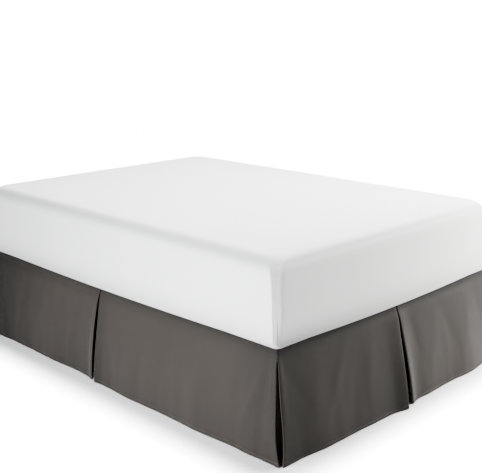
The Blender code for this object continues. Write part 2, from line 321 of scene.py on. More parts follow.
def skirtCloth():
    look = skirtLook
    material, tree, shader, base, weave, mottle = startCloth("skirt cloth", look)
    uv = addNode(tree, "ShaderNodeUVMap", (-1300, 0), uv_map="cloth")
    sides = addNode(tree, "ShaderNodeSeparateXYZ", (-1150, 0))
    link(tree, uv.outputs[0], sides.inputs[0])
    off = mathNode(tree, "SUBTRACT", (-1000, 60), sides.outputs[1], look["stitchHeight"])
    apart = mathNode(tree, "ABSOLUTE", (-850, 60), off)
    near = mathNode(tree, "LESS_THAN", (-700, 60), apart, look["stitchWidth"])
    counted = mathNode(tree, "DIVIDE", (-1000, -60), sides.outputs[0], look["stitchLength"])
    turns = mathNode(tree, "FRACT", (-850, -60), counted)
    dash = mathNode(tree, "LESS_THAN", (-700, -60), turns, look["stitchShare"])
    stitch = mathNode(tree, "MULTIPLY", (-550, 0), near, dash)
    # the stitches are real thread; drawing them lighter than the cloth is a painted highlight where the hem
    # catches light
    sewn = addNode(tree, "ShaderNodeMix", (-120, 300), data_type="RGBA")
    sewn.inputs["B"].default_value = (*[c * look["stitchHighlight"] for c in look["colour"]], 1)
    link(tree, stitch, sewn.inputs["Factor"])
    link(tree, base, sewn.inputs["A"])
    # painted light and shade from the points' tone darkens and lightens the skirt's colour
    shade = placeGroup(tree, groups["shade"], (80, 300), Amount=look["paintedShadeAmount"])
    link(tree, sewn.outputs["Result"], shade.inputs["Color"])
    link(tree, shade.outputs[0], shader.inputs["Base Color"])
    rough = mathNode(tree, "MULTIPLY_ADD", (-300, 60), mottle, look["roughSpread"], look["roughness"])
    link(tree, rough, shader.inputs["Roughness"])
    raised = mathNode(tree, "MULTIPLY", (-600, -450), stitch, look["stitchRise"])
    addBump(tree, shader, mathNode(tree, "ADD", (-450, -300), weave, raised), look)
    setInputs(shader, {
        "Sheen Weight": look["sheen"],
        "Sheen Roughness": look["sheenRoughness"],
        "Specular IOR Level": look["gloss"],
    })
    return material


coverLook = {
    "colour": (0.875, 0.875, 0.88),
    "spread": 0.015,
    "mottleSize": 3.5,
    "mottleFine": 0.2,
    "threads": 1500.0,
    "bump": 0.25,
    "bumpDistance": 0.0002,
    "roughness": 0.8,
    "sheen": 0.15,
    "gloss": 0.3,
    "paintedShadeAmount": 1.0,
}


def coverCloth():
    look = coverLook
    material, tree, shader, base, weave = startCloth("mattress cover", look)[:5]
    # painted shade from the points' tone darkens the cover's colour
    shade = placeGroup(tree, groups["shade"], (-80, 300), Amount=look["paintedShadeAmount"])
    link(tree, base, shade.inputs["Color"])
    link(tree, shade.outputs[0], shader.inputs["Base Color"])
    addBump(tree, shader, weave, look)
    setInputs(shader, {
        "Roughness": look["roughness"],
        "Sheen Weight": look["sheen"],
        "Specular IOR Level": look["gloss"],
    })
    return material


materials = {"skirt": skirtCloth(), "cover": coverCloth()}
print("materials ready")


# The hanging cloth. Distances along a drop run from its foot or left corner.

hang = {
    "cloth": 0.0014,
    "solidCloth": 0.0016,
    "layerTop": 0.0034,
    "layerHem": 0.0090,
    "lift": 0.0012,
    "rise": 0.3,  # a swelling panel's hem lifts by this share of the swell
    "swellPower": 1.5,
    "levelStep": 0.0085,
    "levelsEnd": 0.024,
    "hemRowsFrom": 0.022,
    "hemRows": 15,
    "seamRows": (0.002, 0.004, 0.006),
    "runStep": 0.009,
    "foldSteps": 11,
    "nose": 1.8,
    "pleatDepth": 0.075,
    "pleatSink": 0.50,
    "pleatGapTop": 0.0018,
    "cornerReturn": 0.050,
    "cornerSink": 0.20,
    "setbackTop": 0.0040,
    "setbackHem": 0.0145,
    "cornerBow": 0.0115,
    "cornerBowPlace": 2.2,
    "seamHidden": 0.014,
    "seamShadeTall": 0.0125,
    "seamEase": (0.0, 0.15),
    "ripple": 0.0007,
    "rippleLong": 0.31,
    "rippleShort": 0.06,
    # painted shading by the slope of the folds, as if lit from one side
    "slopeShade": 0.3,
    "slopeShadeStep": 0.002,
    "slopeShadeLimits": (0.5, 1.45),
    # painted highlight on the folded edges and the pleats' middle layers
    "foldEdgeLight": 0.9,
    "tuckHeight": 0.026,
    "tuckTall": 0.026,
    "turnUp": 0.012,
    "hemBand": 0.0110,
    "hemBandEase": 0.0025,
    "hemThick": 0.0013,
    "hemCurl": 0.0018,
    "curlHeight": 0.0060,
    "stitchDip": 0.0013,
    "stitchAbove": 0.0012,
    "stitchSpread": 0.0036,
    "pucker": 0.0006,
    "puckerTall": 0.014,
    "puckerLength": 0.023,
    "puckerShort": 0.0137,
    "puckerShortShare": 0.6,
}

sidePleat = 0.531 * bed["length"]
footPleat = 0.504 * bed["width"]
footLean = 0.0105
sideGap = 0.026
footGap = 0.047

sideDrop = {
    "length": bed["length"],
    "pleat": sidePleat,
    "lean": 0.0,
    "gap": sideGap,
    "gapBow": 4.0,
    "curve": 1.5,
    "hang": (
        ("distance", "hang"),
        (0.000, 0.048),
        (0.200, 0.057),
        (0.480, 0.063),
        (0.760, 0.065),
        (sidePleat - sideGap / 2, 0.058),
        (sidePleat + sideGap / 2, 0.053),
        (1.150, 0.048),
        (1.500, 0.051),
        (bed["length"], 0.055),
    ),
    "folds": (
        ("distance", "width", "swell"),
        (0.060, 0.080, 0.0030),
        (0.180, 0.100, -0.0035),
        (0.330, 0.130, 0.0025),
        (0.560, 0.170, -0.0020),
        (0.800, 0.130, 0.0025),
        (1.170, 0.120, -0.0025),
        (1.340, 0.140, 0.0030),
        (1.620, 0.160, -0.0030),
        (1.800, 0.110, 0.0025),
    ),
    "tuck": 0.0040,
    "creases": (
        ("distance", "down", "lean", "width", "tall", "depth"),
        (0.004, 0.22, 0.00, 0.020, 0.17, 0.0030),
        (0.034, 0.62, 0.01, 0.030, 0.24, -0.0030),
        (0.082, 0.46, 0.06, 0.034, 0.15, 0.0050),
        (0.150, 0.40, 0.05, 0.040, 0.16, -0.0010),
        (0.300, 0.62, 0.06, 0.060, 0.20, -0.0011),
        (0.420, 0.40, -0.05, 0.050, 0.20, 0.0008),
        (0.560, 0.60, 0.05, 0.045, 0.22, -0.0010),
        (0.720, 0.45, 0.04, 0.045, 0.22, 0.0008),
        (0.900, 0.70, -0.02, 0.036, 0.16, -0.0014),
        (sidePleat - sideGap / 2, 1.00, 0.00, 0.046, 0.30, 0.0075),
        (sidePleat + sideGap / 2, 0.60, 0.00, 0.024, 0.40, 0.0034),
        (1.075, 0.80, 0.00, 0.034, 0.16, -0.0016),
        (1.180, 0.50, 0.06, 0.040, 0.20, 0.0010),
        (1.330, 0.35, -0.05, 0.040, 0.16, -0.0008),
        (1.450, 0.50, 0.06, 0.045, 0.20, -0.0011),
        (1.600, 0.55, 0.04, 0.040, 0.24, 0.0011),
        (1.740, 0.60, -0.05, 0.040, 0.20, -0.0010),
    ),
    # painted light and shade: lighter and darker places along the drop, at its seam and at its hem
    "paintedShading": (
        ("distance", "seam", "hem"),
        (0.000, 0.70, 0.95),
        (0.250, 0.90, 1.05),
        (0.900, 1.00, 1.05),
        (sidePleat - sideGap / 2, 0.95, 0.75),
        (sidePleat + sideGap / 2, 1.05, 1.00),
        (1.350, 1.10, 1.10),
        (bed["length"], 0.55, 0.50),
    ),
    "seamShade": 0.38,
    "seed": 11,
}

footDrop = {
    "length": bed["width"],
    "pleat": footPleat,
    "lean": footLean,
    "gap": footGap,
    "gapBow": 1.0,
    "curve": 1.1,
    "hang": (
        ("distance", "hang"),
        (0.000, 0.067),
        (0.210, 0.078),
        (0.480, 0.087),
        (footPleat - footLean - footGap / 2, 0.088),
        (footPleat - footLean + footGap / 2, 0.076),
        (0.900, 0.081),
        (1.150, 0.084),
        (bed["width"], 0.070),
    ),
    "folds": (
        ("distance", "width", "swell"),
        (0.100, 0.090, -0.0030),
        (0.240, 0.110, 0.0025),
        (0.410, 0.130, -0.0025),
        (0.560, 0.070, -0.0015),
        (0.672, 0.070, 0.0070),
        (0.830, 0.110, 0.0025),
        (1.000, 0.120, -0.0025),
        (1.180, 0.130, 0.0025),
        (1.290, 0.090, -0.0025),
    ),
    "tuck": 0.0032,
    "creases": (
        ("distance", "down", "lean", "width", "tall", "depth"),
        (0.000, 0.25, 0.00, 0.020, 0.18, 0.0030),
        (0.060, 0.35, 0.08, 0.034, 0.14, -0.0012),
        (0.150, 0.60, -0.05, 0.050, 0.20, 0.0011),
        (0.290, 0.42, -0.10, 0.040, 0.18, 0.0016),
        (0.380, 0.60, -0.06, 0.050, 0.20, -0.0012),
        (0.480, 0.45, -0.04, 0.040, 0.18, 0.0011),
        (footPleat - 0.030, 0.95, -0.030, 0.090, 0.40, 0.0140),
        (footPleat + 0.012, 0.70, 0.012, 0.045, 0.45, 0.0050),
        (0.790, 0.42, 0.05, 0.036, 0.16, -0.0016),
        (0.900, 0.60, -0.06, 0.050, 0.20, 0.0011),
        (1.030, 0.45, 0.08, 0.045, 0.18, -0.0013),
        (1.150, 0.60, -0.05, 0.050, 0.20, 0.0010),
        (1.280, 0.40, 0.06, 0.040, 0.16, -0.0010),
    ),
    # painted light and shade: lighter and darker places along the drop, at its seam and at its hem
    "paintedShading": (
        ("distance", "seam", "hem"),
        (0.000, 0.65, 0.55),
        (0.200, 0.65, 0.80),
        (0.500, 0.55, 0.75),
        (footPleat - footLean - footGap / 2, 0.50, 0.50),
        (footPleat - footLean + footGap / 2, 0.55, 0.85),
        (bed["width"], 0.50, 0.75),
    ),
    "seamShade": 0.86,
    "seed": 23,
}


rightDrop = {
    **sideDrop,
    "creases": (
        ("distance", "down", "lean", "width", "tall", "depth"),
        (0.070, 0.55, 0.05, 0.036, 0.16, 0.0022),
        (0.210, 0.45, -0.06, 0.050, 0.20, -0.0012),
        (0.380, 0.60, 0.05, 0.055, 0.22, 0.0012),
        (0.640, 0.50, -0.04, 0.050, 0.22, -0.0011),
        (0.830, 0.42, 0.06, 0.045, 0.18, 0.0011),
        (sidePleat - sideGap / 2, 0.80, 0.00, 0.030, 0.35, 0.0045),
        (sidePleat + sideGap / 2, 0.90, 0.00, 0.040, 0.35, 0.0050),
        (1.130, 0.55, 0.05, 0.045, 0.20, -0.0012),
        (1.380, 0.45, -0.06, 0.050, 0.20, 0.0011),
        (1.560, 0.60, 0.04, 0.045, 0.22, -0.0011),
        (1.780, 0.50, 0.05, 0.045, 0.20, 0.0010),
    ),
    # painted light and shade: lighter and darker places along the drop, at its seam and at its hem
    "paintedShading": (
        ("distance", "seam", "hem"),
        (0.000, 0.92, 0.84),
        (0.120, 1.00, 0.96),
        (0.700, 0.96, 0.98),
        (1.200, 1.00, 0.94),
        (bed["length"], 0.94, 0.90),
    ),
    "seed": 37,
}


def swelling(drop, at):
    return sum(depth * hump(at, place, width) for place, width, depth in drop["folds"][1:])


def plainOut(drop, at, down):
    # how far the outer layer stands out from the seam line, as in the solids
    places, hangs = columns(drop["hang"])
    fall = 1 - (1 - down) ** drop["curve"]
    return softLine(places, hangs, at) * fall + swelling(drop, at) * down ** hang["swellPower"]


def creased(drop, at, down):
    # the fine unevenness that the solids leave out, and the tuck where the cloth leaves its seam
    detail = hang["ripple"] * wander(at, drop["seed"], hang["rippleLong"], hang["rippleShort"]) * down
    for place, middle, lean, width, tall, depth in drop["creases"][1:]:
        height = (down - middle) * bed["dropTop"]
        detail = detail + depth * hump(at - lean * height / tall, place, width) * hump(height, 0, tall)
    tuck = drop["tuck"] * hump(down * bed["dropTop"], hang["tuckHeight"], hang["tuckTall"])
    return detail * rise(down, hang["seamEase"]) - tuck


def softShape(drop, at, down):
    return plainOut(drop, at, down) + creased(drop, at, down)


def paintedClothShading(drop, at, down):
    # painted light and shade: lighter and darker places set along the cloth and down it, a painted shadow
    # under its seam where the mattress overhangs, and painted shading by the slope of its folds as if lit
    # from one side
    places, seam, hem = columns(drop["paintedShading"])
    tone = mix(softLine(places, seam, at), softLine(places, hem, at), down)
    step = hang["slopeShadeStep"]
    slope = (softShape(drop, at + step, down) - softShape(drop, at - step, down)) / (2 * step)
    tone = tone * np.clip(1 - hang["slopeShade"] * slope, *hang["slopeShadeLimits"])
    # painted shadow under the mattress's overhang, just below the seam
    under = max(down * bed["dropTop"] - hang["seamHidden"], 0)
    return tone * (1 - drop["seamShade"] * np.exp(-under / hang["seamShadeTall"]))


def foldPoints(edge, first, last, facing, sunk, pitch):
    nose = hang["nose"] * pitch / 2
    turns = np.linspace(0, pi, hang["foldSteps"])
    layers = (first + last) / 2 + (first - last) / 2 * np.cos(turns)
    return [(edge + facing * nose * (sin(t) - 1), layer, sunk) for t, layer in zip(turns, layers)]


def joinedPath(stops, pitch):
    # a stop is (edge, first layer, last layer, facing, share sunk, length of the run before it)
    path = []
    for edge, first, last, facing, sunk, length in stops:
        if first == last:
            points = [(edge, first, sunk)]
        else:
            points = foldPoints(edge, first, last, facing, sunk, pitch)
        if path:
            start, end = np.array(path[-1]), np.array(points[0])
            count = max(2, round(length / hang["runStep"]))
            path += [tuple(mix(start, end, i / count)) for i in range(1, count)]
        path += points
    return np.array(path)


def pleatStops(drop, down):
    opened = 1 - (1 - down) ** drop["gapBow"]
    gap = mix(hang["pleatGapTop"], drop["gap"], opened)
    middle = drop["pleat"] - drop["lean"] * down
    left, right = middle - gap / 2, middle + gap / 2
    depth, sink = hang["pleatDepth"], hang["pleatSink"]
    return [
        (left, 0, 1, 1, 0, drop["pleat"]),
        (left - depth, 1, 2, -1, sink, depth),
        (right + depth, 2, 1, 1, sink, 2 * depth),
        (right, 1, 0, -1, 0, depth),
    ]


def dropPath(drop, down, pitch):
    other = sideDrop if drop is footDrop else footDrop
    setback = mix(hang["setbackTop"], hang["setbackHem"], down)
    setback += hang["cornerBow"] * sin(pi * down ** hang["cornerBowPlace"])
    corner = setback - float(plainOut(other, 0.0, down))
    back, sink = hang["cornerReturn"], hang["cornerSink"]
    full, rest = drop["length"], drop["length"] - drop["pleat"]
    stops = [
        (corner + back, 1, 1, 1, sink, 0),
        (corner, 1, 0, -1, 0, back),
        *pleatStops(drop, down),
    ]
    if drop is footDrop:
        stops.append((full - corner, 0, 1, 1, 0, rest))
        stops.append((full - corner - back, 1, 1, 1, sink, back))
    else:
        stops.append((full, 0, 0, 1, 0, rest))
    return joinedPath(stops, pitch)


def dropLevels():
    # closer rows at the seam and in the hem
    height = bed["dropTop"] - hang["lift"]
    rows = np.arange(0, height - hang["levelsEnd"], hang["levelStep"])
    nearHem = np.linspace(height - hang["hemRowsFrom"], height, hang["hemRows"])
    return np.sort(np.concatenate([rows, hang["seamRows"], nearHem])) / height


def hemDetail(aboveHem, along):
    # the turned-up band is thicker and curls in at its edge, with a sewn dip above it and small puckers
    top = hang["hemBand"]
    band = hang["hemThick"] * fade(aboveHem, (top - hang["hemBandEase"], top))
    curl = hang["hemCurl"] * fade(aboveHem, (0, hang["curlHeight"]))
    dip = hang["stitchDip"] * hump(aboveHem, top + hang["stitchAbove"], hang["stitchSpread"])
    pull = np.sin(2 * pi * along / hang["puckerLength"])
    pull = pull + hang["puckerShortShare"] * np.sin(2 * pi * along / hang["puckerShort"] + 1)
    return band - curl - dip + hang["pucker"] * pull * hump(aboveHem, top, hang["puckerTall"])


def dropGrid(drop):
    rows, uvs, paintedShading = [], [], []
    for down in dropLevels():
        pitch = mix(hang["layerTop"], hang["layerHem"], down)
        at, layer, sunk = dropPath(drop, down, pitch).T
        hem = hang["lift"] + hang["rise"] * np.abs(swelling(drop, at))
        z = mix(bed["dropTop"], hem, down)
        out = softShape(drop, at, down) * (1 - sunk)
        out -= hang["solidCloth"] / 2 + layer * pitch
        step = np.hypot(np.diff(at), np.diff(out))
        along = np.concatenate([[0], np.cumsum(step)])
        out = out + hemDetail(z - hem, along) * np.cos(pi * layer)
        rows.append(np.stack([at, out, z], axis=-1))
        uvs.append(np.stack([along, z - hem], axis=-1))
        # the folded edges and middle layers get a painted highlight
        paintedShading.append(paintedClothShading(drop, at, down) * (1 + hang["foldEdgeLight"] * np.sin(pi * layer) ** 2))
    return np.array(rows), np.array(uvs), np.array(paintedShading)


def onSide(rows, hand):
    edge = bed["right"] if hand > 0 else bed["left"]
    return np.stack([edge + hand * rows[..., 1], bed["foot"] + rows[..., 0], rows[..., 2]], axis=-1)


def onFoot(rows):
    return np.stack([bed["left"] + rows[..., 0], bed["foot"] - rows[..., 1], rows[..., 2]], axis=-1)


def finishSheet(piece, node):
    thicken(piece, hang["cloth"])
    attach(piece, "root")
    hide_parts(node)


def buildDrops():
    for name, node, drop, hand in (
        ("skirt_drop_left", "drop_left", sideDrop, -1),
        ("skirt_drop_right", "drop_right", rightDrop, 1),
        ("skirt_drop_foot", "drop_foot", footDrop, 0),
    ):
        rows, uvs, paintedShading = dropGrid(drop)
        points = onSide(rows, hand) if hand else onFoot(rows)
        order = slice(None, None, -1 if hand < 0 else 1)
        grids = [grid[::-1, order] for grid in (points, uvs, paintedShading)]
        piece = gridPiece(name, grids[0], grids[1], materials["skirt"], paintedShading=grids[2])
        finishSheet(piece, node)
        print("hung", name, len(piece.data.polygons), "faces")


underlay = {
    "sink": 0.35,
    "reach": 0.115,
    "bendTop": 0.010,
    "bendHem": 0.030,
    "arm": 18,
    "turns": 14,
}


def underlayGrid(hand):
    # the loose piece behind an open corner, on the third layer, bent softly round it
    footEnd = 0.0 if hand < 0 else bed["width"]
    rows, uvs = [], []
    for down in dropLevels():
        back = hang["solidCloth"] / 2 + 2 * mix(hang["layerTop"], hang["layerHem"], down)
        sideOut = float(plainOut(sideDrop, 0.0, down)) * (1 - underlay["sink"]) - back
        footOut = float(plainOut(footDrop, footEnd, down)) * (1 - underlay["sink"]) - back
        bend = mix(underlay["bendTop"], underlay["bendHem"], down)
        sideArm = np.linspace(underlay["reach"], bend - footOut, underlay["arm"])
        footArm = np.linspace(sideOut - bend, -underlay["reach"], underlay["arm"])
        turn = np.linspace(0, pi / 2, underlay["turns"])[1:-1]
        out = np.concatenate([np.full(len(sideArm), sideOut), sideOut - bend * (1 - np.cos(turn)), footArm])
        at = np.concatenate([sideArm, bend * (1 - np.sin(turn)) - footOut, np.full(len(footArm), -footOut)])
        along = np.concatenate([[0], np.cumsum(np.hypot(np.diff(out), np.diff(at)))])
        z = mix(bed["dropTop"], hang["lift"], down)
        edge = bed["right"] if hand > 0 else bed["left"]
        rows.append(np.stack([edge + hand * out, bed["foot"] + at, np.full(len(at), z)], axis=-1))
        uvs.append(np.stack([along, np.full(len(at), z - hang["lift"])], axis=-1))
    rows, uvs = np.array(rows[::-1]), np.array(uvs[::-1])
    return (rows, uvs) if hand < 0 else (rows[:, ::-1], uvs[:, ::-1])


def buildUnderlays():
    for name, node, hand in (
        ("skirt_underlay_left", "corner_underlay_left", -1),
        ("skirt_underlay_right", "corner_underlay_right", 1),
    ):
        rows, uvs = underlayGrid(hand)
        piece = gridPiece(name, rows, uvs, materials["skirt"])
        finishSheet(piece, node)
    print("corner underlays behind both open corners")


deckCloth = {
    "across": 36,
    "along": 50,
    "uvLift": 10,  # keeps its threads clear of the hem's stitches
}


def buildDeck():
    # the platform of cloth that lies on the base and carries the drops
    across = np.linspace(bed["left"], bed["right"], deckCloth["across"])
    along = np.linspace(bed["foot"], bed["head"], deckCloth["along"])
    x, y = np.meshgrid(across, along)
    points = np.stack([x, y, np.full_like(x, bed["top"] - hang["solidCloth"] / 2)], axis=-1)
    uvs = np.stack([x, y + deckCloth["uvLift"]], axis=-1)
    piece = gridPiece("deck_cloth", points, uvs, materials["skirt"])
    finishSheet(piece, "deck")
    print("deck laid on the base")


buildDeck()
buildDrops()
buildUnderlays()


# The mattress in its white cover

mattress = {
    "floor": bed["top"] + 0.0003,
    "height": 0.320,
    "sections": (
        ("height", "outset", "corner"),
        (0.050, 0.0110, 0.024),
        (0.150, 0.0145, 0.026),
        (0.350, 0.0155, 0.029),
        (0.580, 0.0120, 0.033),
        (0.750, 0.0060, 0.038),
        (0.840, 0.0000, 0.043),
        (0.900, -0.0080, 0.049),
        (0.940, -0.0190, 0.056),
        (0.968, -0.0350, 0.062),
        (0.986, -0.0650, 0.068),
        (0.996, -0.1300, 0.074),
        (1.000, -0.2600, 0.080),
        (1.000, -0.4500, 0.060),
        (1.000, -0.6860, 0.000),
    ),
    "ringSteps": 84,
    "sideSteps": 130,
    "footSteps": 94,
    "cornerSteps": 32,
    "lipInside": 0.0045,
    "lipOutside": 0.0085,
    "lipCorner": 0.021,
    "lipBevel": 0.0025,
    "lipBevelSteps": 6,
    "lipBand": 0.05,
    "cornerLift": 0.0080,
    "sagSide": 0.0065,
    "sagFoot": 0.0085,
    "sagPower": 0.8,
    "bodyRise": (0.04, 0.20),
    "bodyFade": (0.90, 0.99),
    "grooveFade": (0.94, 0.99),
    "grooveHeight": 0.900,
    "grooveWidth": 0.060,
    "grooveDepth": 0.0032,
    "bellyRise": (0.0, 0.12),
    "bellyHeight": 0.300,
    "bellyWidth": 0.260,
    "bellySide": 0.0020,
    "bellyFoot": 0.0060,
    "seamPlaces": (1.5, 1.5, 1.15, 1.85),
    "seamRound": 0.070,
    "seamWidth": 0.0050,
    "seamDepth": 0.0024,
    "seamRise": (0.0, 0.1),
    "seamFade": (0.80, 0.92),
    "waveSizes": (3.1, 7.3),
    "fineWave": 0.5,
    "topWave": 0.0022,
    "topSink": 0.6,
    "topRise": (0.93, 0.995),
    "sideWave": 0.0013,
    "crownShade": (0.34, 0.06, 0.34, 0.06),
    "crownShadeHeight": 0.915,
    "crownShadeTall": 0.100,
    "crownShadeFade": (0.955, 0.985),
    "lipShade": (0.26, 0.26, 0.26, 0.50),
    "lipShadeTall": (0.15, 0.16, 0.15, 0.16),
    "lipShadePower": 1.5,
    "lipShadeEase": 0.70,
    "turnShade": 0.36,
    "turnFrom": 0.15,
    "turnRise": (0.0, 0.05),
    "turnFade": (0.15, 0.50),
    "seamShade": 0.45,
    "seamShadeWidth": 0.0060,
    "dentRise": (0.0, 0.08),
    "dents": (
        ("along", "height", "width", "tall", "depth"),
        (0.060, 0.12, 0.160, 0.26, 0.0060),
        (0.300, 0.35, 0.180, 0.30, 0.0018),
        (0.620, 0.20, 0.140, 0.25, -0.0016),
        (0.900, 0.55, 0.200, 0.30, 0.0014),
        (1.150, 0.25, 0.150, 0.25, 0.0016),
    ),
}


def smoothThrough(values, steps):
    # a curve through every value, without corners
    values = np.asarray(values, float)
    spots = np.linspace(0, len(values) - 1, steps)
    first = np.clip(spots.astype(int), 0, len(values) - 2)
    share = spots - first
    padded = np.concatenate([[2 * values[0] - values[1]], values, [2 * values[-1] - values[-2]]])
    a, b, c, d = (padded[first + i] for i in range(4))
    return 0.5 * (
        2 * b + (c - a) * share + (2 * a - 5 * b + 4 * c - d) * share**2 + (3 * b - a - 3 * c + d) * share**3
    )


def mattressRing(outset, corner, sideZ, footZ, cornerZ):
    # once round, from the right side's foot end; gives the points, their outward directions and their edge
    halfX = bed["width"] / 2 + outset - corner
    halfY = bed["length"] / 2 + outset - corner
    sides = (
        ((1, -1), (1, 1), (1, 0), mattress["sideSteps"], sideZ),
        ((1, 1), (-1, 1), (0, 1), mattress["footSteps"], footZ),
        ((-1, 1), (-1, -1), (-1, 0), mattress["sideSteps"], sideZ),
        ((-1, -1), (1, -1), (0, -1), mattress["footSteps"], footZ),
    )
    points, outs, edges = [], [], []
    for quarter, (start, end, out, steps, low) in enumerate(sides):
        for i in range(steps):
            share = i / steps
            x = mix(start[0], end[0], share) * halfX + out[0] * corner
            y = mix(start[1], end[1], share) * halfY + out[1] * corner
            points.append((x, bed["middle"] + y, mix(cornerZ, low, sin(pi * share) ** mattress["sagPower"])))
            outs.append((*out, 0))
            edges.append((quarter, share))
        for i in range(mattress["cornerSteps"]):
            turn = pi / 2 * (quarter + i / mattress["cornerSteps"])
            out = (cos(turn), sin(turn))
            points.append((
                end[0] * halfX + corner * out[0],
                bed["middle"] + end[1] * halfY + corner * out[1],
                cornerZ,
            ))
            outs.append((*out, 0))
            edges.append((quarter, 1 + i / mattress["cornerSteps"]))
    return np.array(points), np.array(outs), np.array(edges)


def mattressGrid():
    floor = mattress["floor"]
    lip = [floor - mattress["sagSide"], floor - mattress["sagFoot"], floor + mattress["cornerLift"]]
    bevel, inside, outside = mattress["lipBevel"], mattress["lipInside"], mattress["lipOutside"]
    rings = [(inside, [floor] * 3), (inside, lip)]
    for turn in np.linspace(0, pi / 2, mattress["lipBevelSteps"]):
        rings.append((outside - bevel + bevel * sin(turn), [z + bevel * (1 - cos(turn)) for z in lip]))
    rings = [(out, mattress["lipCorner"], heights, 0.0) for out, heights in rings]
    share, outset, corner = columns(mattress["sections"])
    share = np.concatenate([[0.0], share])
    outset = np.concatenate([[outside], outset])
    corner = np.concatenate([[mattress["lipCorner"]], corner])
    stack = [smoothThrough(values, mattress["ringSteps"]) for values in (share, outset, corner)]
    edgeZ = np.array([z + bevel for z in lip])
    band = mattress["lipBand"]
    for up, out, radius in list(zip(*stack))[1:]:
        up = min(up, 1.0)
        low = edgeZ + (floor + band * mattress["height"] - edgeZ) * min(up / band, 1)
        high = floor + up * mattress["height"]
        heights = low if up < band else [high] * 3
        rings.append((out, max(radius, 0.0), heights, up))
    rows, uvs, paintedShading = [], [], []
    for out, radius, heights, up in rings:
        points, outs, edges = mattressRing(out, radius, *heights)
        rows.append(coverDetail(points, outs, edges, up))
        uvs.append(points[:, :2])
        paintedShading.append(paintedCoverShading(points, outs, edges, up))
    return np.array(rows), np.array(uvs), np.array(paintedShading)


def coverSeam(edges, up, width):
    # the upright seam near each corner, which fades before the crown
    place = np.array(mattress["seamPlaces"])[edges[:, 0].astype(int)]
    apart = np.where(edges[:, 1] >= 1, edges[:, 1] - place, 9) * mattress["seamRound"]
    return hump(apart, 0, width) * rise(up, mattress["seamRise"]) * fade(up, mattress["seamFade"])


def coverDetail(points, outs, edges, up):
    # soft waves, a belly, the groove under the crown, a seam near each corner and a few dents
    body = rise(up, mattress["bodyRise"]) * fade(up, mattress["bodyFade"])
    waves = [np.array([noise.noise(Vector(p) * size) for p in points]) for size in mattress["waveSizes"]]
    wave = waves[0] + mattress["fineWave"] * waves[1]
    faceFoot = np.abs(outs[:, 1]) ** 2
    belly = mix(mattress["bellySide"], mattress["bellyFoot"], faceFoot)
    belly = belly * hump(up, mattress["bellyHeight"], mattress["bellyWidth"])
    belly = belly * rise(up, mattress["bellyRise"])
    groove = mattress["grooveDepth"] * hump(up, mattress["grooveHeight"], mattress["grooveWidth"])
    groove = groove * fade(up, mattress["grooveFade"])
    seam = mattress["seamDepth"] * coverSeam(edges, up, mattress["seamWidth"])
    inward = groove + seam - belly - mattress["sideWave"] * wave * body
    footAlong = points[:, 0] - bed["left"]
    footFace = np.where(outs[:, 1] < -0.7, 1.0, 0.0) * rise(up, mattress["dentRise"])
    for along, height, width, tall, depth in mattress["dents"][1:]:
        inward = inward + depth * hump(footAlong, along, width) * hump(up, height, tall) * footFace
    moved = points - outs * inward[:, None]
    lift = rise(up, mattress["topRise"]) * (mattress["topWave"] * (wave - mattress["topSink"]))
    moved[:, 2] += np.minimum(lift, 0)
    return moved


def paintedCoverShading(points, outs, edges, up):
    # painted shade: the cover darkens towards its tucked lower edge and in the hollow under the crown; it is
    # also darker along each corner seam
    weights = np.clip([outs[:, 0], outs[:, 1], -outs[:, 0], -outs[:, 1]], 0, 1) ** 2
    crown = np.array(mattress["crownShade"]) @ weights
    low = np.array(mattress["lipShade"]) @ weights
    tall = np.array(mattress["lipShadeTall"]) @ weights
    towardsLeft = 1 - mattress["lipShadeEase"] * (points[:, 0] - bed["left"]) / bed["width"] * weights[3]
    shade = crown * hump(up, mattress["crownShadeHeight"], mattress["crownShadeTall"])
    shade = shade * fade(up, mattress["crownShadeFade"])
    shade = shade + low * towardsLeft * np.exp(-((up / tall) ** mattress["lipShadePower"]))
    seam = mattress["seamShade"] * coverSeam(edges, up, mattress["seamShadeWidth"])
    # painted shade: the round of each foot corner beyond its seam is darkened like the shaded foot face
    quarter, place = edges[:, 0], edges[:, 1] - 1
    start = mattress["turnFrom"]
    turned = np.where(quarter == 2, place - start, np.where(quarter == 3, 1 - start - place, -1))
    turned = np.where((place >= 0) & (turned > 0), turned, 0)
    turned = rise(turned, mattress["turnRise"]) * fade(turned, mattress["turnFade"])
    turned = turned * rise(up, mattress["seamRise"]) * fade(up, mattress["seamFade"])
    return (1 - shade) * (1 - seam) * (1 - mattress["turnShade"] * turned)


def buildMattress():
    rows, uvs, paintedShading = mattressGrid()
    piece = gridPiece("mattress_in_cover", rows, uvs, materials["cover"], closed=True, paintedShading=paintedShading)
    mesh = piece.data
    closeMiddle(mesh)
    planarUvs(mesh)
    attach(piece, "root")
    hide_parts("mattress")
    print("mattress", len(mesh.polygons), "faces")


def closeMiddle(mesh):
    # joins the last ring along the top's middle and closes the flat underside
    bm = bmesh.new()
    bm.from_mesh(mesh)
    top = [v for v in bm.verts if v.co.z > mattress["floor"] + 0.2]
    bmesh.ops.remove_doubles(bm, verts=top, dist=0.0006)
    rim = [e for e in bm.edges if e.is_boundary and e.verts[0].co.z < mattress["floor"] + 0.1]
    bmesh.ops.holes_fill(bm, edges=rim, sides=0)
    bmesh.ops.recalc_face_normals(bm, faces=bm.faces)
    bm.to_mesh(mesh)
    bm.free()
    mesh.shade_smooth()


def planarUvs(mesh):
    # the cloth's threads run along the top, and down and round the sides
    layer = mesh.uv_layers["cloth"].data
    places = np.array([v.co for v in mesh.vertices])
    for face in mesh.polygons:
        normal = np.abs(np.array(face.normal))
        u, v = ((0, 1), (1, 2), (0, 2))[0 if normal[2] > 0.7 else 1 if normal[0] > normal[1] else 2]
        for corner in face.loop_indices:
            place = places[mesh.loops[corner].vertex_index]
            layer[corner].uv = (place[u], place[v])


buildMattress()


